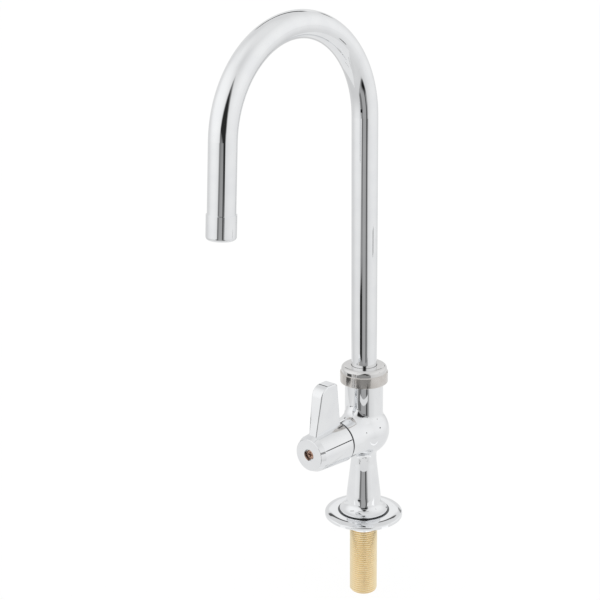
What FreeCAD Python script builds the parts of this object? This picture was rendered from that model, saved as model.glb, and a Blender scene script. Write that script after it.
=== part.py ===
import FreeCAD, Part
import math
import os

from FreeCAD import Vector

# Deck-mounted faucet with a swivelling gooseneck and a quarter turn lever.
# Millimetres, +Z up. The origin is the middle of the deck flange's underside.
# The spout and the handle both point to -Y. A reach is measured from the post axis toward -Y.

# Clearances
slip = 0.05
running = 0.06
face_gap = 0.05
hand_gap = 0.3
ring_gap = 0.02

# How far a cut runs past the face it opens, the least size of a seam that gets rounded,
# and the distance below which two points are one
past = 1.0
seam_reach = 1.0
same_point = 1e-6

# Deck flange and gasket
flange_radius = 30.0
flange_thickness = 3.7
flange_edge_height = 2.3
flange_edge_round = 1.2
flange_slope_width = 3.5
flange_slope_round = 10.0
gasket_inset = 3.0
gasket_width = 6.0
gasket_depth = 1.2

# Shank below the deck
shank_radius = 10.67
shank_wall = 4.67
shank_drop = 65.3
shank_chamfer = 0.9
thread_pitch = 25.4 / 14
thread_depth = 1.05
thread_land = 0.3
collar_step = 0.28
collar_drop = 11.0
spigot_step = 2.47
spigot_length = 17.0

# Pedestal, ball and neck
foot_radius = 18.6
foot_height = 1.7
foot_under_round = 1.15
foot_edge_round = 0.5
flare_rise = 3.4
flare_round = 7.2
pedestal_radius = 13.3
pedestal_taper = 0.1
shoulder_height = 13.3
shoulder_round = 30.0
taper_height = 29.5
waist_radius = 9.75
waist_round = 30.0
ball_radius = 19.4
valve_height = 71.0
ball_foot_round = 6.0
neck_rise = 39.5
neck_round = 8.0
neck_step = 0.45
neck_thread_length = 6.5
neck_thread_wall = 2.44

# Side arm
arm_radius = 15.1
arm_root_radius = 15.6
arm_reach = 29.6
arm_edge_round = 0.4
arm_blend = 18.0

# Water ways in the body
inlet_bore = 4.5
inlet_offset = 2.5
seat_bore = 4.6
seat_reach = 5.0
outlet_bore = 3.8
outlet_reach = 8.0
neck_bore = 8.5
neck_bore_depth = 10.65
socket_depth = 21.0
passage_lap = 2.5

# Spout tube
tube_radius = 9.525
tube_wall = 1.0
rise_length = 194.75
bend_radius = 71.4
bend_degrees = 176.3
leg_length = 64.5

# Swivel sleeve, its seals and glide rings
sleeve_wall = 1.975
sleeve_lip = 1.0
sleeve_end_gap = 1.0
sleeve_flange_width = 1.7
sleeve_flange_thickness = 2.75
glide_thickness = 0.8
swivel_seal_section = 0.75
swivel_seal_rise = 5.0
swivel_seal_drop = 7.0

# Swivel nut
nut_wall = 4.0
nut_chamfer = 0.5
nut_band_height = 7.4
nut_step = 0.9
nut_step_height = 0.5
nut_crown_height = 4.9
nut_shoulder_round = 2.7

# Outlet
outlet_step = 0.675
outlet_length = 17.0
outlet_round = 2.4
outlet_lip = 1.2
outlet_lip_width = 1.55
outlet_wall = 1.25
bushing_wall = 1.5
bushing_depth = 10.0
screen_thickness = 0.5
screen_mesh_pitch = 1.3
screen_wire = 0.35
screen_rim = 0.9
insert_thickness = 5.6
insert_hole = 0.85
insert_hole_pitch = 2.9
insert_rings = 2
flow_disc_thickness = 1.9
flow_disc_hole = 1.5
outlet_washer_thickness = 1.7
outlet_washer_width = 2.9

# Cartridge
basket_radius = 9.9
basket_wall = 1.15
basket_lap = 0.2
basket_water_gap = 0.5
window_length = 4.6
window_degrees = 64.0
land_inset = 2.5
land_length = 3.0
cartridge_thread_step = 0.5
cartridge_flange_thickness = 1.4
hexagon_flats = 19.0
hexagon_length = 4.0
nose_radius = 7.5
nose_length = 5.0
castle_height = 2.0
castle_wall = 1.3
cartridge_seal_section = 0.65
seat_seal_thickness = 2.0
seat_seal_wall = 1.5
fixed_disc_thickness = 3.2
moving_disc_thickness = 2.95
moving_disc_inset = 0.45
port_inner = 2.1
port_outer = 6.4
port_degrees = 74.0

# Stem, its stop and clip
stem_radius = 4.5
stem_flange_radius = 7.0
stem_flange_thickness = 2.7
stem_washer_thickness = 1.0
pin_radius = 0.9
pin_circle = 5.4
pin_depth = 1.2
stem_seal_section = 0.6
stem_seal_inset = 7.0
stem_neck_step = 0.5
stem_neck_length = 3.0
stem_flat_depth = 0.8
clip_thickness = 0.9
clip_groove_depth = 0.75
clip_width = 2.15
clip_gap_degrees = 70.0
stop_thickness = 1.4
stop_tab_degrees = 24.0
stop_clear_degrees = 1.0
quarter_turn = 90.0
spline_teeth = 16
spline_step = 0.6
spline_depth = 0.5
spline_length = 12.5

# Handle
barrel_gap = 1.2
barrel_step = 0.75
barrel_front_radius = 13.9
barrel_bevel_length = 28.7
barrel_length = 32.65
barrel_end_radius = 12.05
barrel_edge_round = 0.45
barrel_bevel_round = 1.1
skirt_wall = 3.0
hub_gap = 0.2
recess_radius = 4.5
recess_depth = 3.75
screw_head_inset = 0.8
screw_head_height = 2.2
screw_head_round = 1.3
screw_radius = 1.6
screw_length = 12.0
screw_cross_width = 1.05
screw_cross_length = 4.4
screw_cross_depth = 1.4
blade_height = 50.0
blade_inner_foot = 0.7
blade_inner_top = 6.2
blade_outer_foot = 28.55
blade_outer_top = 22.4
blade_foot_half = 3.75
blade_top_half = 5.25
blade_inner_round = 3.0
blade_outer_round = 9.0
blade_edge_round = 1.1
blade_root_depth = 0.55

# Radii, heights and reaches that follow from the sizes above
gasket_outer = flange_radius - gasket_inset
gasket_inner = gasket_outer - gasket_width
shank_bore = shank_radius - shank_wall
collar_radius = shank_radius + collar_step
spigot_radius = shank_radius - spigot_step
spigot_top = spigot_length - collar_drop
tube_bore = tube_radius - tube_wall
tube_cover = tube_radius + slip
sleeve_radius = tube_radius + sleeve_wall
sleeve_flange_radius = sleeve_radius + sleeve_flange_width
socket_radius = sleeve_radius + running
neck_thread_radius = socket_radius + neck_thread_wall
neck_radius = neck_thread_radius + neck_step
neck_height = valve_height + neck_rise
neck_top = neck_height + neck_thread_length
socket_floor = neck_top - socket_depth
neck_bore_foot = socket_floor - neck_bore_depth
sleeve_foot = socket_floor + sleeve_end_gap
tube_foot = sleeve_foot + sleeve_lip
swivel_seal_heights = {"lower": sleeve_foot + swivel_seal_rise, "upper": neck_top - swivel_seal_drop}
sleeve_shoulder = neck_top + glide_thickness + face_gap
sleeve_top = sleeve_shoulder + sleeve_flange_thickness
upper_glide_foot = sleeve_top + face_gap
nut_ceiling = upper_glide_foot + glide_thickness
rise_top = neck_top + rise_length
outlet_radius = tube_radius + outlet_step
outlet_bore_wide = outlet_radius - outlet_wall
outlet_mouth = outlet_bore_wide - outlet_lip_width
bushing_bore = tube_bore - bushing_wall
chamber_radius = basket_radius + basket_water_gap
cartridge_thread_radius = chamber_radius + cartridge_thread_step
barrel_root_radius = arm_radius + barrel_step
skirt_bore = barrel_root_radius - skirt_wall
cartridge_flange_radius = skirt_bore - hand_gap
disc_bore = basket_radius - basket_wall
fixed_disc_foot = seat_reach + seat_seal_thickness
fixed_disc_top = fixed_disc_foot + fixed_disc_thickness
moving_disc_foot = fixed_disc_top + face_gap
moving_disc_top = moving_disc_foot + moving_disc_thickness
stem_flange_top = moving_disc_top + stem_flange_thickness
basket_foot = fixed_disc_foot + basket_lap
basket_ceiling = stem_flange_top + stem_washer_thickness + 2 * face_gap
land_foot = basket_ceiling + land_inset
land_top = land_foot + land_length
cartridge_flange_top = arm_reach + cartridge_flange_thickness
hexagon_top = cartridge_flange_top + hexagon_length
nose_top = hexagon_top + nose_length
stem_seal_reaches = {"inner": basket_ceiling + stem_seal_inset, "outer": nose_top - stem_seal_inset}
stem_neck_radius = stem_radius - stem_neck_step
stem_flats = 2 * (stem_neck_radius - stem_flat_depth)
stop_radius = nose_radius - castle_wall - hand_gap
stop_foot = nose_top + 2 * face_gap
stop_top = stop_foot + stop_thickness
clip_bore = stem_neck_radius - clip_groove_depth
clip_foot = stop_top + 2 * face_gap
clip_top = clip_foot + clip_thickness
spline_radius = stem_radius - spline_step
spline_foot = nose_top + stem_neck_length
spline_top = spline_foot + spline_length
barrel_root = arm_reach + barrel_gap
barrel_end = barrel_root + barrel_length
hub_face = spline_foot + hub_gap
recess_floor = barrel_end - recess_depth
blade_foot = barrel_front_radius - blade_root_depth


def rounded_wire(corners):
    """Closed outline through (x, y, radius) corners, each corner rounded by a tangent arc.

    A rounding shrinks where its sides are too short for it."""
    count = len(corners)
    points = [Vector(x, y, 0) for x, y, radius in corners]
    sides = [points[(i + 1) % count] - points[i] for i in range(count)]
    halves = [(sides[i - 1] * -1).getAngle(sides[i]) / 2 for i in range(count)]
    reaches = [corners[i][2] / math.tan(halves[i]) for i in range(count)]
    rooms = []
    for i in range(count):
        wanted = reaches[i] + reaches[(i + 1) % count]
        rooms.append(sides[i].Length / wanted if wanted > sides[i].Length else 1.0)
    arcs = {}
    starts = list(points)
    ends = list(points)
    for i in range(count):
        radius = corners[i][2] * min(rooms[i - 1], rooms[i])
        if radius == 0:
            continue
        back = Vector(sides[i - 1]).normalize() * -1
        ahead = Vector(sides[i]).normalize()
        reach = radius / math.tan(halves[i])
        starts[i] = points[i] + back * reach
        ends[i] = points[i] + ahead * reach
        bisector = (back + ahead).normalize()
        middle = points[i] + bisector * (radius / math.sin(halves[i]) - radius)
        arcs[i] = Part.Arc(starts[i], middle, ends[i]).toShape()
    ordered = []
    for i in range(count):
        if i in arcs:
            ordered.append(arcs[i])
        arrive = starts[(i + 1) % count]
        if ends[i].distanceToPoint(arrive) > same_point:
            ordered.append(Part.makeLine(ends[i], arrive))
    return Part.Wire(ordered)


def turned(corners):
    """Solid of revolution about Z from an outline of (radius, height, rounding) corners."""
    face = Part.Face(rounded_wire(corners))
    face.rotate(Vector(0, 0, 0), Vector(1, 0, 0), 90)
    return face.revolve(Vector(0, 0, 0), Vector(0, 0, 1), 360)


def disc(radius, low, high):
    return Part.makeCylinder(radius, high - low, Vector(0, 0, low))


def ring(outer, inner, low, high):
    return disc(outer, low, high).cut(disc(inner, low, high))


def torus(centre_radius, section, height):
    return Part.makeTorus(centre_radius, section, Vector(0, 0, height))


def seal_in_bore(bore, section, height):
    """O-ring that stands just clear of the bore around it."""
    return torus(bore - ring_gap - section, section, height)


def seal_groove(bore, land, section, height):
    """Groove in a land of smaller radius than the bore, for the ring above."""
    floor = bore - 2 * ring_gap - 2 * section
    half = section + 2 * ring_gap
    return ring(land + past, floor, height - half, height + half)


def sector(outer, inner, low, high, centre_degrees, span_degrees):
    """Piece of a ring, centred on an angle about Z."""
    block = Part.makeCylinder(outer, high - low, Vector(0, 0, low), Vector(0, 0, 1), span_degrees)
    if inner > 0:
        block = block.cut(disc(inner, low, high))
    block.rotate(Vector(0, 0, 0), Vector(0, 0, 1), centre_degrees - span_degrees / 2)
    return block


def prism(wire, low, high):
    face = Part.Face(wire)
    face.translate(Vector(0, 0, low))
    return face.extrude(Vector(0, 0, high - low))


def hexagon(flats, low, high):
    corner = flats / math.sqrt(3)
    points = [Vector(corner * math.cos(math.radians(60 * i)), corner * math.sin(math.radians(60 * i)), 0)
              for i in range(6)]
    return prism(Part.makePolygon(points + [points[0]]), low, high)


def spline_bar(outer, low, high):
    """Toothed bar, each tooth a plain V."""
    points = []
    for i in range(2 * spline_teeth):
        radius = outer if i % 2 == 0 else outer - spline_depth
        angle = math.pi * i / spline_teeth
        points.append(Vector(radius * math.cos(angle), radius * math.sin(angle), 0))
    return prism(Part.makePolygon(points + [points[0]]), low, high)


def flatted(radius, flats, low, high):
    """Round bar with two flats."""
    bar = disc(radius, low, high)
    block = Part.makeBox(flats, 4 * radius, high - low, Vector(-flats / 2, -2 * radius, low))
    return bar.common(block)


def on_arm(shape):
    """Place a piece built along +Z, from the post axis outward, along the side arm."""
    shape.rotate(Vector(0, 0, 0), Vector(1, 0, 0), 90)
    shape.translate(Vector(0, 0, valve_height))
    return shape


def leg_direction():
    angle = math.radians(bend_degrees)
    return Vector(0, -math.sin(angle), math.cos(angle))


def bend_end():
    angle = math.radians(bend_degrees)
    return Vector(0, bend_radius * (math.cos(angle) - 1), rise_top + bend_radius * math.sin(angle))


def on_leg(shape):
    """Place a piece built up from the outlet's mouth on the down leg."""
    mouth = bend_end() + leg_direction() * leg_length
    shape.rotate(Vector(0, 0, 0), Vector(1, 0, 0), bend_degrees - 180)
    shape.translate(mouth)
    return shape


def arc_point(centre, first, last, radius):
    """Middle of the short arc about a centre between two points of it."""
    toward = (first + last) * 0.5 - centre
    return centre + toward.normalize() * radius


def pedestal_outside():
    foot = flange_thickness
    return turned([
        (0, -collar_drop, 0),
        (collar_radius, -collar_drop, 0),
        (collar_radius, foot, 0),
        (foot_radius, foot, foot_under_round),
        (foot_radius, foot + foot_height, foot_edge_round),
        (pedestal_radius, foot + flare_rise, flare_round),
        (pedestal_radius - pedestal_taper, foot + shoulder_height, shoulder_round),
        (waist_radius, foot + shoulder_height + taper_height, waist_round),
        (waist_radius, valve_height, 0),
        (0, valve_height, 0),
    ])


def neck_outside():
    return turned([
        (0, valve_height, 0),
        (neck_radius, valve_height, 0),
        (neck_radius, neck_height, 0),
        (neck_thread_radius, neck_height, 0),
        (neck_thread_radius, neck_top, 0),
        (0, neck_top, 0),
    ])


def ball_outside():
    """Ball and side arm turned about the arm's axis, with the arm flaring into the ball."""
    middle = Vector(0, 0, 0)
    blend_x = arm_root_radius + arm_blend
    blend = Vector(blend_x, math.sqrt((ball_radius + arm_blend) ** 2 - blend_x ** 2), 0)
    touch = blend * (ball_radius / (ball_radius + arm_blend))
    root = blend - Vector(arm_blend, 0, 0)
    back = Vector(0, -ball_radius, 0)
    side = Vector(ball_radius, 0, 0)
    corner = Vector(arm_radius, arm_reach, 0)
    rise = (root - corner).normalize()
    rim_side = corner + rise * arm_edge_round
    rim_face = corner - Vector(arm_edge_round, 0, 0)
    rim_centre = Vector(rim_face.x, rim_side.y, 0)
    edges = [
        Part.Arc(back, arc_point(middle, back, side, ball_radius), side).toShape(),
        Part.Arc(side, arc_point(middle, side, touch, ball_radius), touch).toShape(),
        Part.Arc(touch, arc_point(blend, touch, root, arm_blend), root).toShape(),
        Part.makeLine(root, rim_side),
        Part.Arc(rim_side, arc_point(rim_centre, rim_side, rim_face, arm_edge_round), rim_face).toShape(),
        Part.makeLine(rim_face, Vector(0, arm_reach, 0)),
        Part.makeLine(Vector(0, arm_reach, 0), back),
    ]
    face = Part.Face(Part.Wire(edges))
    face.rotate(Vector(0, 0, 0), Vector(1, 0, 0), 90)
    return on_arm(face.revolve(Vector(0, 0, 0), Vector(0, 0, 1), 360))


def seam_edges(shape, low, high):
    """Edges of a joint between turned forms that lie between two heights."""
    found = []
    for edge in shape.Edges:
        box = edge.BoundBox
        if box.ZMin > low and box.ZMax < high and box.XLength > seam_reach:
            found.append(edge)
    return found


def blended_body():
    """Pedestal, ball and neck in one, with rounded seams."""
    foot_seam = valve_height - math.sqrt(ball_radius ** 2 - waist_radius ** 2)
    neck_seam = valve_height + math.sqrt(ball_radius ** 2 - neck_radius ** 2)
    body = ball_outside().fuse([pedestal_outside(), neck_outside()]).removeSplitter()
    body = body.makeFillet(ball_foot_round, seam_edges(body, foot_seam - seam_reach, foot_seam + seam_reach))
    return body.makeFillet(neck_round, seam_edges(body, neck_seam - seam_reach, neck_seam + neck_round))


def body_casting():
    """The blended form with its water ways: inlet, seat, valve chamber, passage and spout socket."""
    passage_foot = valve_height + chamber_radius - passage_lap
    passage_length = neck_bore_foot + outlet_bore - passage_foot
    cuts = [
        disc(spigot_radius + slip, -collar_drop - past, spigot_top + face_gap),
        Part.makeCylinder(inlet_bore, valve_height - spigot_top, Vector(0, inlet_offset, spigot_top)),
        on_arm(disc(seat_bore, -inlet_offset - inlet_bore, seat_reach + past)),
        on_arm(disc(chamber_radius, seat_reach, land_top)),
        on_arm(disc(cartridge_thread_radius + slip, land_top, arm_reach + past)),
        Part.makeCylinder(outlet_bore, passage_length, Vector(0, -outlet_reach, passage_foot)),
        disc(neck_bore, neck_bore_foot, neck_top),
        disc(socket_radius, socket_floor, neck_top + past),
    ]
    return blended_body().cut(cuts)


def deck_flange():
    plate = turned([
        (collar_radius + slip, 0, 0),
        (flange_radius, 0, 0),
        (flange_radius, flange_edge_height, flange_edge_round),
        (flange_radius - flange_slope_width, flange_thickness, flange_slope_round),
        (collar_radius + slip, flange_thickness, 0),
    ])
    return plate.cut(ring(gasket_outer + slip, gasket_inner - slip, -past, gasket_depth))


def deck_gasket():
    return ring(gasket_outer, gasket_inner, 0, gasket_depth)


def threaded_shank():
    """Brass nipple. The thread is drawn as closed V grooves with flat crests."""
    body = turned([
        (shank_bore, -shank_drop, 0),
        (shank_radius - shank_chamfer, -shank_drop, 0),
        (shank_radius, -shank_drop + shank_chamfer, 0),
        (shank_radius, -collar_drop, 0),
        (spigot_radius, -collar_drop, 0),
        (spigot_radius, spigot_top, 0),
        (shank_bore, spigot_top, 0),
    ])
    half = (thread_pitch - thread_land) / 2
    first = -shank_drop + shank_chamfer + thread_land + half
    count = int((shank_drop - collar_drop - shank_chamfer - thread_land) / thread_pitch)
    grooves = []
    for i in range(count):
        height = first + i * thread_pitch
        grooves.append(turned([
            (shank_radius - thread_depth, height, 0),
            (shank_radius + half, height - half - half * half / thread_depth, 0),
            (shank_radius + half, height + half + half * half / thread_depth, 0),
        ]))
    return body.cut(grooves)


def swivel_nut():
    """Round nut: chamfered foot, band, a small step in, then a rounded shoulder to a flat top round the tube."""
    band_foot = neck_height + nut_chamfer
    band_top = band_foot + nut_band_height
    step_top = band_top + nut_step_height
    top = step_top + nut_crown_height
    bore = neck_thread_radius + slip
    outer = neck_thread_radius + nut_wall
    hole = tube_radius + hand_gap
    return turned([
        (bore, neck_height, 0),
        (outer - nut_chamfer, neck_height, 0),
        (outer, band_foot, 0),
        (outer, band_top, 0),
        (outer - nut_step, step_top, 0),
        (outer - nut_step, top, nut_shoulder_round),
        (hole, top, 0),
        (hole, nut_ceiling, 0),
        (bore, nut_ceiling, 0),
    ])


def lower_glide_ring():
    return ring(sleeve_flange_radius, socket_radius, neck_top, neck_top + glide_thickness)


def upper_glide_ring():
    return ring(sleeve_flange_radius, tube_radius + hand_gap, upper_glide_foot, nut_ceiling)


def gooseneck_tube():
    rise = ring(tube_radius, tube_bore, tube_foot, rise_top)
    section = Part.Face([
        Part.Wire(Part.makeCircle(tube_radius, Vector(0, 0, rise_top))),
        Part.Wire(Part.makeCircle(tube_bore, Vector(0, 0, rise_top))),
    ])
    bend = section.revolve(Vector(0, -bend_radius, rise_top), Vector(1, 0, 0), bend_degrees)
    leg = on_leg(ring(tube_radius, tube_bore, outlet_length, leg_length))
    return rise.fuse([bend, leg]).removeSplitter()


def swivel_sleeve():
    sleeve = turned([
        (tube_bore, sleeve_foot, 0),
        (sleeve_radius, sleeve_foot, 0),
        (sleeve_radius, sleeve_shoulder, 0),
        (sleeve_flange_radius, sleeve_shoulder, 0),
        (sleeve_flange_radius, sleeve_top, 0),
        (tube_cover, sleeve_top, 0),
        (tube_cover, tube_foot, 0),
        (tube_bore, tube_foot, 0),
    ])
    grooves = [seal_groove(socket_radius, sleeve_radius, swivel_seal_section, height)
               for height in swivel_seal_heights.values()]
    return sleeve.cut(grooves)


def swivel_seal(which):
    return seal_in_bore(socket_radius, swivel_seal_section, swivel_seal_heights[which])


def outlet_housing():
    return on_leg(turned([
        (outlet_mouth, 0, 0),
        (outlet_radius, 0, outlet_round),
        (outlet_radius, outlet_length, 0),
        (outlet_bore_wide, outlet_length, 0),
        (outlet_bore_wide, outlet_lip, 0),
        (outlet_mouth, outlet_lip, 0),
    ]))


def outlet_stack():
    """Foot and top of each loose piece above the outlet's lip, in order from the mouth."""
    levels = {}
    height = outlet_lip
    for name, thickness in (("screen", screen_thickness), ("insert", insert_thickness),
                            ("flow", flow_disc_thickness), ("washer", outlet_washer_thickness)):
        levels[name] = (height, height + thickness)
        height += thickness
    levels["bushing"] = (height, outlet_length)
    return levels


def outlet_screen():
    low, high = outlet_stack()["screen"]
    radius = outlet_bore_wide - slip
    plate = disc(radius, low, high)
    gap = screen_mesh_pitch - screen_wire
    reach = math.ceil(radius / screen_mesh_pitch)
    holes = []
    for i in range(-reach, reach + 1):
        for j in range(-reach, reach + 1):
            x = i * screen_mesh_pitch
            y = j * screen_mesh_pitch
            if math.hypot(abs(x) + gap / 2, abs(y) + gap / 2) < radius - screen_rim:
                holes.append(Part.makeBox(gap, gap, high - low, Vector(x - gap / 2, y - gap / 2, low)))
    return on_leg(plate.cut(holes))


def stream_insert():
    low, high = outlet_stack()["insert"]
    plate = disc(outlet_bore_wide - slip, low, high)
    holes = [disc(insert_hole, low, high)]
    for row in range(1, insert_rings + 1):
        for i in range(6 * row):
            angle = math.pi * i / (3 * row)
            place = Vector(row * insert_hole_pitch * math.cos(angle),
                           row * insert_hole_pitch * math.sin(angle), low)
            holes.append(Part.makeCylinder(insert_hole, high - low, place))
    return on_leg(plate.cut(holes))


def flow_disc():
    low, high = outlet_stack()["flow"]
    return on_leg(ring(outlet_bore_wide - slip, flow_disc_hole, low, high))


def outlet_washer():
    low, high = outlet_stack()["washer"]
    return on_leg(ring(outlet_bore_wide - slip, outlet_bore_wide - outlet_washer_width, low, high))


def outlet_bushing():
    low, high = outlet_stack()["bushing"]
    thread = ring(outlet_bore_wide - slip, bushing_bore, low, high)
    plug = ring(tube_bore - slip, bushing_bore, high, high + bushing_depth)
    return on_leg(thread.fuse(plug).removeSplitter())


def cartridge_body():
    bore = stem_radius + running
    shell = turned([
        (disc_bore, basket_foot, 0),
        (basket_radius, basket_foot, 0),
        (basket_radius, land_foot, 0),
        (chamber_radius - slip, land_foot, 0),
        (chamber_radius - slip, land_top, 0),
        (cartridge_thread_radius, land_top, 0),
        (cartridge_thread_radius, arm_reach, 0),
        (cartridge_flange_radius, arm_reach, 0),
        (cartridge_flange_radius, cartridge_flange_top, 0),
        (nose_radius, cartridge_flange_top, 0),
        (nose_radius, nose_top + castle_height, 0),
        (bore, nose_top + castle_height, 0),
        (bore, basket_ceiling, 0),
        (disc_bore, basket_ceiling, 0),
    ])
    collar = hexagon(hexagon_flats, cartridge_flange_top, hexagon_top).cut(
        disc(bore, cartridge_flange_top, hexagon_top))
    shell = shell.fuse(collar).removeSplitter()
    cuts = [
        seal_groove(chamber_radius, chamber_radius, cartridge_seal_section, (land_foot + land_top) / 2),
        disc(nose_radius - castle_wall, nose_top, nose_top + castle_height + past),
        sector(nose_radius + past, 0, nose_top, nose_top + castle_height + past, quarter_turn / 2,
               quarter_turn + stop_tab_degrees + 2 * stop_clear_degrees),
    ]
    window_top = basket_ceiling - stem_washer_thickness
    for side in (0, 180):
        cuts.append(sector(basket_radius + past, disc_bore - past, window_top - window_length, window_top,
                           side, window_degrees))
    return on_arm(shell.cut(cuts))


def cartridge_oring():
    return on_arm(seal_in_bore(chamber_radius, cartridge_seal_section, (land_foot + land_top) / 2))


def seat_seal():
    outer = disc_bore - hand_gap
    return on_arm(ring(outer, outer - seat_seal_wall, seat_reach, fixed_disc_foot))


def ports(low, high, first_degrees):
    """Two openings across from each other, as wide as the discs let through."""
    centres = (first_degrees, first_degrees + 180)
    return [sector(port_outer, port_inner, low, high, centre, port_degrees) for centre in centres]


def fixed_disc():
    plate = disc(disc_bore - slip, fixed_disc_foot, fixed_disc_top)
    return on_arm(plate.cut(ports(fixed_disc_foot, fixed_disc_top, 0)))


def pin_places():
    return [Vector(side * pin_circle, 0, 0) for side in (-1, 1)]


def moving_disc():
    plate = disc(disc_bore - moving_disc_inset, moving_disc_foot, moving_disc_top)
    cuts = ports(moving_disc_foot, moving_disc_top, quarter_turn)
    for place in pin_places():
        pocket = Part.makeCylinder(pin_radius + slip, pin_depth + face_gap,
                                   place + Vector(0, 0, moving_disc_top - pin_depth - face_gap))
        cuts.append(pocket)
    return on_arm(plate.cut(cuts))


def valve_stem():
    stem = disc(stem_flange_radius, moving_disc_top, stem_flange_top)
    pins = [Part.makeCylinder(pin_radius, pin_depth, place + Vector(0, 0, moving_disc_top - pin_depth))
            for place in pin_places()]
    journal = disc(stem_radius, stem_flange_top, nose_top)
    neck = flatted(stem_neck_radius, stem_flats, nose_top, spline_foot)
    splined = spline_bar(spline_radius, spline_foot, spline_top)
    stem = stem.fuse(pins + [journal, neck, splined]).removeSplitter()
    cuts = [seal_groove(stem_radius + running, stem_radius, stem_seal_section, reach)
            for reach in stem_seal_reaches.values()]
    cuts.append(ring(stem_radius, clip_bore - ring_gap, clip_foot - face_gap,
                     clip_top + face_gap))
    hole_foot = recess_floor - screw_length - face_gap
    cuts.append(disc(screw_radius + slip, hole_foot, spline_top + past))
    return on_arm(stem.cut(cuts))


def stem_seal(which):
    return on_arm(seal_in_bore(stem_radius + running, stem_seal_section, stem_seal_reaches[which]))


def stem_washer():
    high = basket_ceiling - face_gap
    return on_arm(ring(stem_flange_radius, stem_radius + slip, high - stem_washer_thickness, high))


def stop_washer():
    plate = disc(stop_radius, stop_foot, stop_top)
    tab = sector(nose_radius - slip, stem_neck_radius, stop_foot, stop_top, 0, stop_tab_degrees)
    hole = flatted(stem_neck_radius + slip, stem_flats + 2 * slip, stop_foot, stop_top)
    return on_arm(plate.fuse(tab).removeSplitter().cut(hole))


def stem_clip():
    clip = ring(clip_bore + clip_width, clip_bore, clip_foot, clip_top)
    gap = sector(2 * stop_radius, 0, clip_foot, clip_top, 90, clip_gap_degrees)
    return on_arm(clip.cut(gap))


def blade():
    """Upright plate on the barrel, wider at its top, with its corners and edges rounded."""
    outline = rounded_wire([
        (blade_foot, -barrel_root - blade_inner_foot, 0),
        (blade_height, -barrel_root - blade_inner_top, blade_inner_round),
        (blade_height, -barrel_root - blade_outer_top, blade_outer_round),
        (blade_foot, -barrel_root - blade_outer_foot, 0),
    ])
    plate = prism(outline, -2 * blade_top_half, 2 * blade_top_half)
    plate.rotate(Vector(0, 0, 0), Vector(0, 1, 0), -90)
    wedge_points = [
        Vector(-blade_foot_half, 0, blade_foot), Vector(blade_foot_half, 0, blade_foot),
        Vector(blade_top_half, 0, blade_height), Vector(-blade_top_half, 0, blade_height),
    ]
    wedge = Part.Face(Part.makePolygon(wedge_points + [wedge_points[0]]))
    wedge = wedge.extrude(Vector(0, -barrel_end, 0))
    plate = plate.common(wedge)
    edges = [e for e in plate.Edges
             if e.BoundBox.ZMax > blade_foot + past and e.BoundBox.XLength < blade_foot_half]
    plate = plate.makeFillet(blade_edge_round, edges)
    plate.translate(Vector(0, 0, valve_height))
    return plate


def lever_handle():
    barrel = on_arm(turned([
        (0, barrel_root, 0),
        (barrel_root_radius, barrel_root, barrel_edge_round),
        (barrel_front_radius, barrel_root + barrel_bevel_length, barrel_bevel_round),
        (barrel_end_radius, barrel_end, barrel_edge_round),
        (0, barrel_end, 0),
    ]))
    handle = barrel.fuse(blade()).removeSplitter()
    cuts = [
        disc(skirt_bore, barrel_root - past, hub_face),
        spline_bar(spline_radius + slip, hub_face - past, spline_top + face_gap),
        disc(screw_radius + hand_gap, spline_top, barrel_end),
        disc(recess_radius, recess_floor, barrel_end + past),
    ]
    return handle.cut([on_arm(cut) for cut in cuts])


def handle_screw():
    """Domed head with a cross recess, and its plain shank."""
    top = recess_floor + screw_head_height
    head_radius = recess_radius - screw_head_inset
    head = turned([
        (0, recess_floor, 0),
        (head_radius, recess_floor, 0),
        (head_radius, top, screw_head_round),
        (0, top, 0),
    ])
    screw = head.fuse(disc(screw_radius, recess_floor - screw_length, recess_floor)).removeSplitter()
    bars = []
    for length, width in ((screw_cross_length, screw_cross_width), (screw_cross_width, screw_cross_length)):
        corner = Vector(-length / 2, -width / 2, top - screw_cross_depth)
        bars.append(Part.makeBox(length, width, screw_cross_depth + past, corner))
    return on_arm(screw.cut(bars))


pieces = {
    "body_casting": body_casting,
    "deck_flange": deck_flange,
    "deck_gasket": deck_gasket,
    "threaded_shank": threaded_shank,
    "swivel_nut": swivel_nut,
    "lower_glide_ring": lower_glide_ring,
    "upper_glide_ring": upper_glide_ring,
    "cartridge_body": cartridge_body,
    "cartridge_oring": cartridge_oring,
    "seat_seal": seat_seal,
    "fixed_disc": fixed_disc,
    "moving_disc": moving_disc,
    "valve_stem": valve_stem,
    "stem_oring_inner": lambda: stem_seal("inner"),
    "stem_oring_outer": lambda: stem_seal("outer"),
    "stem_washer": stem_washer,
    "stop_washer": stop_washer,
    "stem_clip": stem_clip,
    "lever_handle": lever_handle,
    "handle_screw": handle_screw,
    "gooseneck_tube": gooseneck_tube,
    "swivel_sleeve": swivel_sleeve,
    "swivel_oring_lower": lambda: swivel_seal("lower"),
    "swivel_oring_upper": lambda: swivel_seal("upper"),
    "outlet_housing": outlet_housing,
    "outlet_bushing": outlet_bushing,
    "outlet_washer": outlet_washer,
    "flow_disc": flow_disc,
    "stream_insert": stream_insert,
    "outlet_screen": outlet_screen,
}

os.makedirs("parts", exist_ok=True)
for name, make in pieces.items():
    shape = make()
    print(name, "solids", len(shape.Solids), "valid", shape.isValid(), "volume", round(shape.Volume, 1))
    shape.exportStep("parts/" + name + ".step")
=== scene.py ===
# Deck-mounted faucet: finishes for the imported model, a real thread on its shank, and a plain white studio.
# Metres throughout. The spout and the lever point to -Y, and the deck's face is z = 0.
import math

import bmesh
import bpy
from mathutils import Matrix, Vector


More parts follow.
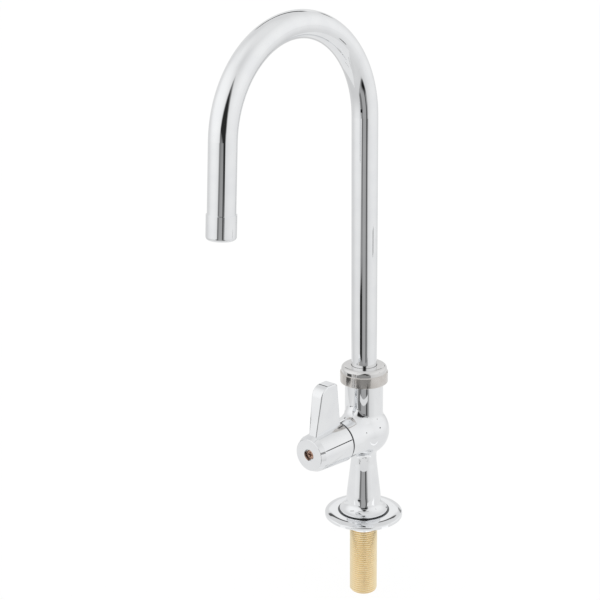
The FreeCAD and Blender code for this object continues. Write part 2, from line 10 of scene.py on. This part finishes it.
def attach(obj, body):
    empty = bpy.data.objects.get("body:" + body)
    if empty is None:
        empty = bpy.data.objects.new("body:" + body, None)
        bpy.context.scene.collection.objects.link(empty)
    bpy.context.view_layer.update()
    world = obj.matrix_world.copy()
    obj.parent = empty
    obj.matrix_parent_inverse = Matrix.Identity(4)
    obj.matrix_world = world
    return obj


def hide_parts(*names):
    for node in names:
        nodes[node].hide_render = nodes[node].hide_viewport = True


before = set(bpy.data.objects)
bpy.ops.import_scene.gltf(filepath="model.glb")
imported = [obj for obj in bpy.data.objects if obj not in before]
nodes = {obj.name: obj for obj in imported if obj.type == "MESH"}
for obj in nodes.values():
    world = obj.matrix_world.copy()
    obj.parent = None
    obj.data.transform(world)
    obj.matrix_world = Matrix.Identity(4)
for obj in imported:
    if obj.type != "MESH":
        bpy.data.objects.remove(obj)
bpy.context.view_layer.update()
print("frame loaded:", len(nodes), "nodes")


def addNode(tree, kind, inputs=None, **settings):
    node = tree.nodes.new(kind)
    for key, value in settings.items():
        setattr(node, key, value)
    for key, value in (inputs or {}).items():
        if isinstance(value, bpy.types.NodeSocket):
            tree.links.new(value, node.inputs[key])
        else:
            node.inputs[key].default_value = value
    return node


def mathNode(tree, operation, *values, clamp=False):
    node = addNode(tree, "ShaderNodeMath", dict(enumerate(values)), operation=operation, use_clamp=clamp)
    return node.outputs[0]


def softStep(tree, value, low, high, fromValue=0.0, toValue=1.0):
    settings = {"Value": value, "From Min": low, "From Max": high, "To Min": fromValue, "To Max": toValue}
    return addNode(tree, "ShaderNodeMapRange", settings, interpolation_type="SMOOTHSTEP").outputs[0]


def mixColours(tree, factor, first, second):
    node = addNode(tree, "ShaderNodeMix", data_type="RGBA")
    for socket, value in ((node.inputs[0], factor), (node.inputs[6], first), (node.inputs[7], second)):
        if isinstance(value, bpy.types.NodeSocket):
            tree.links.new(value, socket)
        elif socket == node.inputs[0]:
            socket.default_value = value
        else:
            socket.default_value = (*value, 1.0)
    return node.outputs[2]


def noise(tree, place, size, detail=2.0, stretch=(1, 1, 1), rough=0.5):
    # size is the pattern's grain in metres
    scaled = addNode(tree, "ShaderNodeMapping", {"Vector": place, "Scale": tuple(s / size for s in stretch)})
    picture = addNode(tree, "ShaderNodeTexNoise", {"Vector": scaled.outputs[0], "Scale": 1.0,
                                                   "Detail": detail, "Roughness": rough})
    return picture.outputs[0]


# How the smudges of all finishes spread: where a patch starts and is full, and the same for its roughness.
skin = {"patchEdges": (0.35, 0.7), "metalRoughEdges": (0.3, 0.75), "plainRoughEdges": (0.3, 0.7),
        "metalRoughShare": 0.6, "plainRoughShare": 0.5}


# A metal is two close tints, a roughness that drifts between two values, slow waves and fine marks.
def metalFinish(name, look):
    material = bpy.data.materials.new(name)
    material.use_nodes = True
    tree = material.node_tree
    shader = tree.nodes["Principled BSDF"]
    shader.inputs["Metallic"].default_value = 1.0
    place = addNode(tree, "ShaderNodeTexCoord").outputs["Object"]
    smudge = softStep(tree, noise(tree, place, look["smudgeSize"], detail=3.0), *skin["patchEdges"])
    tree.links.new(mixColours(tree, smudge, look["tint"], look["dullTint"]), shader.inputs["Base Color"])
    drift = noise(tree, place, look["smudgeSize"] * skin["metalRoughShare"], detail=4.0)
    roughness = softStep(tree, drift, *skin["metalRoughEdges"], *look["rough"])
    tree.links.new(roughness, shader.inputs["Roughness"])
    waves = noise(tree, place, look["waveSize"], detail=1.0)
    wavy = addNode(tree, "ShaderNodeBump", {"Height": waves, "Distance": look["waveHeight"], "Strength": 1.0})
    marks = noise(tree, place, look["markSize"], stretch=look["markStretch"])
    fine = addNode(tree, "ShaderNodeBump", {"Height": marks, "Distance": look["markHeight"], "Strength": 1.0,
                                            "Normal": wavy.outputs[0]})
    tree.links.new(fine.outputs[0], shader.inputs["Normal"])
    return material, tree, shader, place


# Lays another tint and roughness over a metal where the share is one.
def blendOver(tree, shader, share, tint, rough):
    baseColour = shader.inputs["Base Color"].links[0].from_socket
    baseRough = shader.inputs["Roughness"].links[0].from_socket
    tree.links.new(mixColours(tree, share, baseColour, tint), shader.inputs["Base Color"])
    mixed = addNode(tree, "ShaderNodeMix", {0: share, 2: baseRough, 3: rough})
    tree.links.new(mixed.outputs[0], shader.inputs["Roughness"])


castChrome = {
    "tint": (0.88, 0.89, 0.90), "dullTint": (0.85, 0.86, 0.875), "rough": (0.02, 0.045), "smudgeSize": 0.012,
    "waveSize": 0.016, "waveHeight": 0.00002, "markSize": 0.0012, "markHeight": 0.0000004,
    "markStretch": (1, 1, 1),
}
tubeChrome = dict(castChrome, waveSize=0.03, waveHeight=0.000012, rough=(0.02, 0.04), markStretch=(1, 1, 0.1))
leverChrome = dict(castChrome, waveSize=0.012, waveHeight=0.000012, rough=(0.025, 0.06))


# The flange has painted shade: a dark ring round the foot that stands on it, where the joint lies in shade.
# The ring's radii run outwards.
flangeLook = dict(castChrome, jointShadeRing=(0.0178, 0.0184, 0.0196, 0.0202), jointShadeTint=(0.13, 0.135, 0.14),
                  jointShadeRough=0.3)


def radiusFromAxis(tree, place):
    parts = addNode(tree, "ShaderNodeSeparateXYZ", {0: place})
    flat = addNode(tree, "ShaderNodeCombineXYZ", {0: parts.outputs[0], 1: parts.outputs[1]})
    return addNode(tree, "ShaderNodeVectorMath", {0: flat.outputs[0]}, operation="LENGTH").outputs["Value"]


def makeFlangeChrome(look):
    material, tree, shader, place = metalFinish("chromedFlange", look)
    radius = radiusFromAxis(tree, place)
    innerStart, innerEnd, outerStart, outerEnd = look["jointShadeRing"]
    # painted shade: the colour is darkened in a ring round the foot
    ring = mathNode(tree, "MULTIPLY", softStep(tree, radius, innerStart, innerEnd),
                    softStep(tree, radius, outerStart, outerEnd, 1.0, 0.0))
    blendOver(tree, shader, ring, look["jointShadeTint"], look["jointShadeRough"])
    return material


# Painted shade: the casting's arm is darkened at its end, where the gap before the handle lies in shade.
castingLook = dict(castChrome, gapShadeStart=-0.0287, gapShadeEnd=-0.0292, gapShadeTint=(0.10, 0.10, 0.105), gapShadeRough=0.35)


def makeCastingChrome(look):
    material, tree, shader, place = metalFinish("chromedCasting", look)
    along = addNode(tree, "ShaderNodeSeparateXYZ", {0: place}).outputs[1]
    # painted shade: the colour darkens over the last half millimetre of the arm
    paintedGapShade = softStep(tree, along, look["gapShadeEnd"], look["gapShadeStart"], 1.0, 0.0)
    blendOver(tree, shader, paintedGapShade, look["gapShadeTint"], look["gapShadeRough"])
    return material


# Satin nickel of the nut: turned rings all round, the band duller than the dome above it.
nickelLook = {
    "tint": (0.70, 0.675, 0.65), "dullTint": (0.64, 0.61, 0.58), "rough": (0.10, 0.16), "smudgeSize": 0.006,
    "waveSize": 0.02, "waveHeight": 0.000006, "markSize": 0.0003, "markHeight": 0.000003,
    "markStretch": (0.05, 0.05, 1), "domeFoot": 0.1185, "domeTop": 0.1195, "domeTint": (0.75, 0.745, 0.74),
    "domeRough": 0.05,
}


def makeNickel(look):
    material, tree, shader, place = metalFinish("satinNickel", look)
    height = addNode(tree, "ShaderNodeSeparateXYZ", {0: place}).outputs[2]
    dome = softStep(tree, height, look["domeFoot"], look["domeTop"])
    blendOver(tree, shader, dome, look["domeTint"], look["domeRough"])
    return material


# Brass: bright on the crests, darker down in the roots by painted shade and duller there, with turned marks.
brassLook = {
    "tint": (0.99, 0.86, 0.59), "dullTint": (0.96, 0.82, 0.54), "rough": (0.28, 0.38), "smudgeSize": 0.008,
    "waveSize": 0.01, "waveHeight": 0.000006, "markSize": 0.00035, "markHeight": 0.0000003,
    "markStretch": (0.1, 0.1, 1),
}
threadLook = dict(brassLook, rootRadius=0.00965, crestRadius=0.01055, rootShadeTint=(0.86, 0.70, 0.45),
                  rootRough=0.5)


def makeThreadBrass(look):
    material, tree, shader, place = metalFinish("cutBrassThread", look)
    # painted shade: the thread's roots are coloured darker than its crests
    rootShade = softStep(tree, radiusFromAxis(tree, place), look["rootRadius"], look["crestRadius"], 1.0, 0.0)
    blendOver(tree, shader, rootShade, look["rootShadeTint"], look["rootRough"])
    return material


# painted shade: the same brass made much darker for the cartridge inside the handle
shadedInnerBrassLook = dict(brassLook, tint=(0.36, 0.27, 0.15), dullTint=(0.27, 0.20, 0.12))
screwLook = dict(brassLook, tint=(0.55, 0.36, 0.27), dullTint=(0.42, 0.28, 0.22), rough=(0.28, 0.5),
                 smudgeSize=0.0015)
steelLook = {
    "tint": (0.62, 0.62, 0.62), "dullTint": (0.56, 0.56, 0.565), "rough": (0.2, 0.32), "smudgeSize": 0.003,
    "waveSize": 0.01, "waveHeight": 0.000004, "markSize": 0.0003, "markHeight": 0.000001,
    "markStretch": (1, 1, 1),
}


# A moulded or sintered piece: two close colours, a matt to satin skin with a fine grain.
def plainFinish(name, look):
    material = bpy.data.materials.new(name)
    material.use_nodes = True
    tree = material.node_tree
    shader = tree.nodes["Principled BSDF"]
    place = addNode(tree, "ShaderNodeTexCoord").outputs["Object"]
    patch = softStep(tree, noise(tree, place, look["patchSize"], detail=3.0), *skin["patchEdges"])
    tree.links.new(mixColours(tree, patch, look["colour"], look["otherColour"]), shader.inputs["Base Color"])
    drift = noise(tree, place, look["patchSize"] * skin["plainRoughShare"], detail=3.0)
    roughness = softStep(tree, drift, *skin["plainRoughEdges"], *look["rough"])
    tree.links.new(roughness, shader.inputs["Roughness"])
    grain = noise(tree, place, look["grainSize"])
    bump = addNode(tree, "ShaderNodeBump", {"Height": grain, "Distance": look["grainHeight"],
                                            "Strength": 1.0})
    tree.links.new(bump.outputs[0], shader.inputs["Normal"])
    return material


plainLooks = {
    "mouldedRubber": {
        "colour": (0.022, 0.022, 0.023), "otherColour": (0.04, 0.04, 0.041), "rough": (0.55, 0.8),
        "patchSize": 0.004, "grainSize": 0.0004, "grainHeight": 0.00002,
    },
    "whiteAcetal": {
        "colour": (0.80, 0.80, 0.77), "otherColour": (0.74, 0.74, 0.70), "rough": (0.35, 0.5),
        "patchSize": 0.005, "grainSize": 0.0006, "grainHeight": 0.000006,
    },
    "lappedAlumina": {
        "colour": (0.84, 0.82, 0.77), "otherColour": (0.79, 0.77, 0.71), "rough": (0.12, 0.3),
        "patchSize": 0.003, "grainSize": 0.0003, "grainHeight": 0.000002,
    },
}

tubeFinish = metalFinish("chromedTube", tubeChrome)[0]
leverFinish = metalFinish("chromedLever", leverChrome)[0]
satinNickel = makeNickel(nickelLook)
threadBrass = makeThreadBrass(threadLook)
turnedBrass = metalFinish("turnedBrass", brassLook)[0]
shadedInnerBrass = metalFinish("shadedInnerBrass", shadedInnerBrassLook)[0]
flangeChrome = makeFlangeChrome(flangeLook)
castingChrome = makeCastingChrome(castingLook)
copperyScrew = metalFinish("copperyScrew", screwLook)[0]
stainless = metalFinish("stainlessSteel", steelLook)[0]
plain = {name: plainFinish(name, look) for name, look in plainLooks.items()}

finishOf = {
    "body_casting": castingChrome, "deck_flange": flangeChrome,
    "gooseneck_tube": tubeFinish, "outlet_housing": tubeFinish, "lever_handle": leverFinish,
    "swivel_nut": satinNickel, "threaded_shank": threadBrass,
    "cartridge_body": shadedInnerBrass, "valve_stem": turnedBrass, "swivel_sleeve": turnedBrass,
    "outlet_bushing": turnedBrass, "handle_screw": copperyScrew, "stop_washer": stainless,
    "stem_clip": stainless, "outlet_screen": stainless, "deck_gasket": plain["mouldedRubber"],
    "cartridge_oring": plain["mouldedRubber"], "seat_seal": plain["mouldedRubber"],
    "stem_oring_inner": plain["mouldedRubber"], "stem_oring_outer": plain["mouldedRubber"],
    "swivel_oring_lower": plain["mouldedRubber"], "swivel_oring_upper": plain["mouldedRubber"],
    "outlet_washer": plain["mouldedRubber"], "lower_glide_ring": plain["whiteAcetal"],
    "upper_glide_ring": plain["whiteAcetal"], "stem_washer": plain["whiteAcetal"],
    "flow_disc": plain["whiteAcetal"], "stream_insert": plain["whiteAcetal"],
    "fixed_disc": plain["lappedAlumina"], "moving_disc": plain["lappedAlumina"],
}
for name, node in nodes.items():
    node.data.materials.clear()
    node.data.materials.append(finishOf[name])
print("finishes on", len(finishOf), "nodes")


# The shank's helical pipe thread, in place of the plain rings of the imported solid.
threadSizes = {
    "crest": 0.01067, "depth": 0.00105, "pitch": 0.0254 / 14, "crestShare": 0.16,
    "foot": -0.0653, "head": -0.011, "chamfer": 0.0009, "bore": 0.006, "spigot": 0.0082, "spigotTop": 0.006,
    "around": 144, "rowsPerTurn": 12, "weldWithin": 0.000002, "sameHeight": 1e-7,
}


def makeThread(sizes):
    around = sizes["around"]
    pitch = sizes["pitch"]
    rows = sizes["rowsPerTurn"]
    flatHalf = sizes["crestShare"] / 2
    turns = (sizes["head"] - sizes["foot"]) / pitch
    mesh = bmesh.new()

    def radiusAt(turn, height):
        share = abs((turn + 0.5) % 1.0 - 0.5)
        groove = max(share - flatHalf, 0.0) / (0.5 - flatHalf)
        cone = sizes["crest"] - sizes["chamfer"] + (height - sizes["foot"])
        return min(sizes["crest"] - sizes["depth"] * groove, cone)

    def ringAt(pairs):
        return [mesh.verts.new((r * math.cos(a), r * math.sin(a), z)) for r, a, z in pairs]

    angles = [2 * math.pi * i / around for i in range(around)]
    first = -rows
    last = math.ceil(turns * rows) + 1
    rings = []
    for k in range(first, last + 1):
        pairs = []
        for angle in angles:
            height = sizes["foot"] + pitch * (k / rows + angle / (2 * math.pi))
            height = min(max(height, sizes["foot"]), sizes["head"])
            turn = (height - sizes["foot"]) / pitch - angle / (2 * math.pi)
            pairs.append((radiusAt(turn, height), angle, height))
        rings.append(ringAt(pairs))
    # one turn's end is joined to the next turn's start
    for k, ring in enumerate(rings[:-1]):
        above = rings[k + 1]
        for i in range(around - 1):
            mesh.faces.new((ring[i], ring[i + 1], above[i + 1], above[i]))
        if k + rows + 1 < len(rings):
            mesh.faces.new((ring[-1], rings[k + rows][0], rings[k + rows + 1][0], above[-1]))
    bmesh.ops.remove_doubles(mesh, verts=mesh.verts, dist=sizes["weldWithin"])

    # the bore and the plain spigot, then the two ends
    plainRings = [(sizes["bore"], sizes["foot"]), (sizes["bore"], sizes["spigotTop"]),
                  (sizes["spigot"], sizes["spigotTop"]), (sizes["spigot"], sizes["head"])]
    made = [ringAt([(r, a, z) for a in angles]) for r, z in plainRings]
    for low, high in zip(made, made[1:]):
        for i in range(around):
            j = (i + 1) % around
            mesh.faces.new((low[j], low[i], high[i], high[j]))

    def edgeRing(height):
        found = [v for v in mesh.verts if abs(v.co.z - height) < sizes["sameHeight"]
                 and v not in made[0] and v not in made[3]]
        return sorted(found, key=lambda v: math.atan2(v.co.y, v.co.x) % (2 * math.pi))

    for height, inner in ((sizes["foot"], made[0]), (sizes["head"], made[3])):
        rim = edgeRing(height)
        sides = [e for e in mesh.edges if all(v in rim for v in e.verts) or all(v in inner for v in e.verts)]
        bmesh.ops.bridge_loops(mesh, edges=sides)
    bmesh.ops.recalc_face_normals(mesh, faces=mesh.faces)
    data = bpy.data.meshes.new("shank_thread")
    mesh.to_mesh(data)
    mesh.free()
    piece = bpy.data.objects.new("shank_thread", data)
    bpy.context.scene.collection.objects.link(piece)
    data.materials.append(threadBrass)
    return piece


shankThread = makeThread(threadSizes)
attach(shankThread, "faucet_base")
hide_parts("threaded_shank")
print("thread:", len(shankThread.data.polygons), "faces")


# The photograph's camera: a long lens from the right front, a little above the middle.
cameraValues = {"place": (0.61606, -0.75373, 0.48929), "turn": 42.03, "down": 17.856, "roll": -0.65,
                "lens": 82.746, "sensor": 36.0, "shift": (-0.00133, -0.00183), "clipStart": 0.01}
cameraData = bpy.data.cameras.new("photoCamera")
cameraData.sensor_width = cameraValues["sensor"]
cameraData.lens = cameraValues["lens"]
cameraData.shift_x, cameraData.shift_y = cameraValues["shift"]
cameraData.clip_start = cameraValues["clipStart"]
camera = bpy.data.objects.new("photoCamera", cameraData)
bpy.context.scene.collection.objects.link(camera)
camera.matrix_world = (Matrix.Translation(cameraValues["place"])
                       @ Matrix.Rotation(math.radians(cameraValues["turn"]), 4, "Z")
                       @ Matrix.Rotation(math.radians(90 - cameraValues["down"]), 4, "X")
                       @ Matrix.Rotation(math.radians(cameraValues["roll"]), 4, "Z"))
bpy.context.scene.camera = camera


# The studio is a white tent. In front it has a three-cornered opening above a grey board, and behind it
# a dark rail over a pale screen and a low wall. Each shape has its level, its softness and its corners,
# which are (across, up) on a plane one metre before or behind the post, square to the camera's bearing.
# A shape fades out where its plane would be seen edge on.
studio = {
    "front": (0.6328, -0.7743, 0.0), "across": (0.7743, 0.6328, 0.0), "plainLight": 0.8,
    "edgeOn": (0.05, 0.1),
    "byHeight": ((-1, 0.615), (-0.85, 0.726), (-0.5, 0.666), (-0.15, 0.744), (0.1, 0.793), (0.45, 0.784),
                 (0.85, 0.74), (1, 0.84)),
    "glows": (((-0.838, 0.418), 0.236, 0.571), ((0.987, 0.157), 0.164, 0.752)),
    "frontShapes": {
        "board": (0.39, 0.025, ((-0.209, -0.03), (-0.799, -0.399), (-0.701, -0.992), (-0.175, -1.01),
            (0.361, -1.053), (0.826, -0.991), (0.6, -0.445), (0.454, -0.105))),
        "leftShade": (0.172, 0.046, ((-0.283, -0.31), (-0.663, -0.462), (-0.623, -0.902), (-0.291, -0.844))),
        "leftStrip": (0.121, 0.084, ((-0.178, -0.01), (-0.49, -0.163), (-0.482, -0.4), (-0.424, -0.377))),
        "leftFoot": (0.007, 0.012, ((-0.365, -0.312), (-0.817, -0.406), (-0.775, -0.482), (-0.375, -0.405))),
        "rightShade": (0.044, 0.054, ((0.15, 0.021), (0.311, -0.741), (0.481, -0.941), (0.316, -0.006))),
        "corner": (0.01, 0.138, ((0.645, -0.604), (0.345, -0.64), (0.062, -0.868), (0.344, -1.017),
            (0.793, -0.993))),
        "openingSide": (0.152, 0.108, ((0.07, 0.969), (-0.345, 0.11), (-0.335, -0.111), (0.597, -0.052),
            (0.525, 0.148))),
        "opening": (0.023, 0.045, ((0.055, 0.687), (-0.3, 0.052), (0.345, -0.183), (0.533, -0.259),
            (0.413, 0.13))),
    },
    "backShapes": {
        "backRail": (0.1, 0.03, ((-0.46, 0.60), (0.0, 0.59), (0.34, 0.67), (0.36, 0.83), (-0.46, 0.78))),
        "backLight": (0.93, 0.05, ((-0.25, 0.40), (0.25, 0.40), (0.25, 0.555), (-0.25, 0.555))),
        "lowWall": (0.3, 0.02, ((0.25, 0.30), (0.445, 0.33), (0.445, 0.47), (0.25, 0.40))),
    },
}


def softPolygon(tree, across, up, corners, softness):
    # one inside everywhere, fading to none over the softness; corners run anticlockwise
    inside = None
    count = len(corners)
    for i in range(count):
        (x0, y0), (x1, y1) = corners[i], corners[(i + 1) % count]
        length = math.hypot(x1 - x0, y1 - y0)
        nx, ny = (y0 - y1) / length, (x1 - x0) / length
        first = mathNode(tree, "MULTIPLY", across, nx)
        reach = mathNode(tree, "MULTIPLY_ADD", up, ny, first)
        reach = mathNode(tree, "SUBTRACT", reach, nx * x0 + ny * y0)
        step = softStep(tree, reach, -softness, softness)
        inside = step if inside is None else mathNode(tree, "MULTIPLY", inside, step)
    return inside


def makeWorld(values):
    world = bpy.data.worlds.new("whiteTent")
    bpy.context.scene.world = world
    world.use_nodes = True
    tree = world.node_tree
    tree.nodes.clear()
    ray = addNode(tree, "ShaderNodeTexCoord").outputs["Generated"]

    def along(direction):
        node = addNode(tree, "ShaderNodeVectorMath", {0: ray, 1: direction}, operation="DOT_PRODUCT")
        return node.outputs["Value"]

    # pale cloth whose level changes from straight down, -1, to straight up, 1, and two lamps' glow on it
    up = along((0, 0, 1))
    ramp = addNode(tree, "ShaderNodeValToRGB", {0: mathNode(tree, "MULTIPLY_ADD", up, 0.5, 0.5)})
    stops = ramp.color_ramp.elements
    for height, level in values["byHeight"]:
        # the ramp starts with a stop at each end
        ends = {-1.0: stops[0], 1.0: stops[-1]}
        stop = ends[height] if height in ends else stops.new(height * 0.5 + 0.5)
        stop.color = (level, level, level, 1)
    light = addNode(tree, "ShaderNodeRGBToBW", {0: ramp.outputs[0]}).outputs[0]
    for (acrossShare, height), gain, width in values["glows"]:
        forward = math.sqrt(max(1 - acrossShare ** 2 - height ** 2, 0))
        direction = (Vector(values["across"]) * acrossShare + Vector(values["front"]) * forward
                     + Vector((0, 0, height))).normalized()
        near = softStep(tree, along(tuple(direction)), 1 - width, 1.0)
        light = mathNode(tree, "MULTIPLY_ADD", near, gain, light)
    front, side = along(values["front"]), along(values["across"])
    back = mathNode(tree, "MULTIPLY", front, -1.0)
    fadeStart, fadeEnd = values["edgeOn"]
    for forward, shapes in ((front, values["frontShapes"]), (back, values["backShapes"])):
        depth = mathNode(tree, "MAXIMUM", forward, fadeStart)
        isAhead = softStep(tree, forward, fadeStart, fadeEnd)
        acrossPlane = mathNode(tree, "DIVIDE", side, depth)
        upPlane = mathNode(tree, "DIVIDE", up, depth)
        for level, softness, corners in shapes.values():
            inside = softPolygon(tree, acrossPlane, upPlane, corners, softness)
            mask = mathNode(tree, "MULTIPLY", inside, isAhead)
            light = addNode(tree, "ShaderNodeMix", {0: mask, 2: light, 3: level}).outputs[0]
    grey = addNode(tree, "ShaderNodeCombineXYZ", {0: light, 1: light, 2: light}).outputs[0]

    # plain light falls on everything, metal shows the tent, and the camera sees it white
    path = addNode(tree, "ShaderNodeLightPath").outputs
    evenLight = (values["plainLight"],) * 3
    reflected = mixColours(tree, path["Is Glossy Ray"], evenLight, grey)
    seen = mathNode(tree, "ADD", path["Is Camera Ray"], path["Is Transmission Ray"], clamp=True)
    colour = mixColours(tree, seen, reflected, (1, 1, 1))
    tent = addNode(tree, "ShaderNodeBackground", {"Color": colour, "Strength": 1.0})
    addNode(tree, "ShaderNodeOutputWorld", {0: tent.outputs[0]})


makeWorld(studio)

# Cards round the faucet, seen only in the metal: one on the floor, one that lights a window in the neck's
# dark stripe, one that ends the pedestal's stripe below the ball, two beside the shank, and three dark ones
# for the nut's band and the line along the handle. Each has its level and its extents across, forward and
# up, in metres from the post's foot, as the camera's bearing has them.
studioCards = {
    "floorCard": (0.85, (-0.4, 0.4), (-0.5, 0.165), (-0.0654, -0.0654)),
    "neckCard": (0.79, (-0.06, 0.06), (0.15, 0.15), (0.0405, 0.0465)),
    "waistCard": (0.78, (-0.02, 0.02), (0.035, 0.035), (0.035, 0.043)),
    "shankCard": (1.03, (-0.09, -0.001), (0.045, 0.045), (-0.0652, -0.016)),
    "shankSideCard": (1.1, (0.012, 0.13), (0.045, 0.045), (-0.0652, -0.016)),
    "nutShade": (0.08, (-0.1, -0.1), (0.004, 0.056), (0.0775, 0.0886)),
    "handleStrip": (0.05, (0.327, 0.354), (0.0737, 0.0412), (0.114, 0.141)),
    "nutCard": (0.32, (-0.068, 0.062), (0.1, 0.1), (0.079, 0.093)),
}


# Which end of its three extents each corner of a card takes.
lyingCorners = ((0, 0, 0), (1, 0, 0), (1, 1, 0), (0, 1, 0))
uprightCorners = ((0, 0, 0), (1, 1, 0), (1, 1, 1), (0, 0, 1))


def addCard(name, level, across, forward, up):
    toWorld = Matrix((studio["across"], studio["front"], (0, 0, 1))).transposed()
    ends = lyingCorners if up[0] == up[1] else uprightCorners
    corners = [(across[i], forward[j], up[k]) for i, j, k in ends]
    data = bpy.data.meshes.new(name)
    data.from_pydata([toWorld @ Vector(corner) for corner in corners], [], [list(range(len(corners)))])
    card = bpy.data.objects.new(name, data)
    bpy.context.scene.collection.objects.link(card)
    for kind in ("camera", "diffuse", "transmission", "volume_scatter", "shadow"):
        setattr(card, "visible_" + kind, False)
    paint = bpy.data.materials.new(name)
    paint.use_nodes = True
    paint.node_tree.nodes.clear()
    glow = addNode(paint.node_tree, "ShaderNodeEmission", {"Strength": level})
    addNode(paint.node_tree, "ShaderNodeOutputMaterial", {0: glow.outputs[0]})
    data.materials.append(paint)


for name, card in studioCards.items():
    addCard(name, *card)
print("studio set")


# Pale floor at the shank's foot. It is white to the camera and keeps a faint shadow.
floorValues = {"height": -0.0656, "half": 6.0, "shadowShare": 0.08, "white": (0.9, 0.9, 0.9), "glow": 1.03}
floorMesh = bmesh.new()
bmesh.ops.create_grid(floorMesh, x_segments=1, y_segments=1, size=floorValues["half"])
floorData = bpy.data.meshes.new("studioFloor")
floorMesh.to_mesh(floorData)
floorMesh.free()
floor = bpy.data.objects.new("studioFloor", floorData)
bpy.context.scene.collection.objects.link(floor)
floor.location.z = floorValues["height"]
floorPaint = bpy.data.materials.new("paleFloor")
floorPaint.use_nodes = True
floorTree = floorPaint.node_tree
floorTree.nodes.clear()
matt = addNode(floorTree, "ShaderNodeBsdfDiffuse", {"Color": (*floorValues["white"], 1)})
glow = addNode(floorTree, "ShaderNodeEmission", {"Strength": floorValues["glow"]})
floorPath = addNode(floorTree, "ShaderNodeLightPath").outputs
seenWhite = floorPath["Is Camera Ray"]
for kind in ("Is Transmission Ray", "Is Glossy Ray"):
    seenWhite = mathNode(floorTree, "ADD", seenWhite, floorPath[kind], clamp=True)
share = mathNode(floorTree, "MULTIPLY", seenWhite, 1 - floorValues["shadowShare"])
both = addNode(floorTree, "ShaderNodeMixShader", {0: share, 1: matt.outputs[0], 2: glow.outputs[0]})
addNode(floorTree, "ShaderNodeOutputMaterial", {0: both.outputs[0]})
floorData.materials.append(floorPaint)
floor.visible_glossy = False

bpy.context.scene.view_settings.view_transform = "Standard"
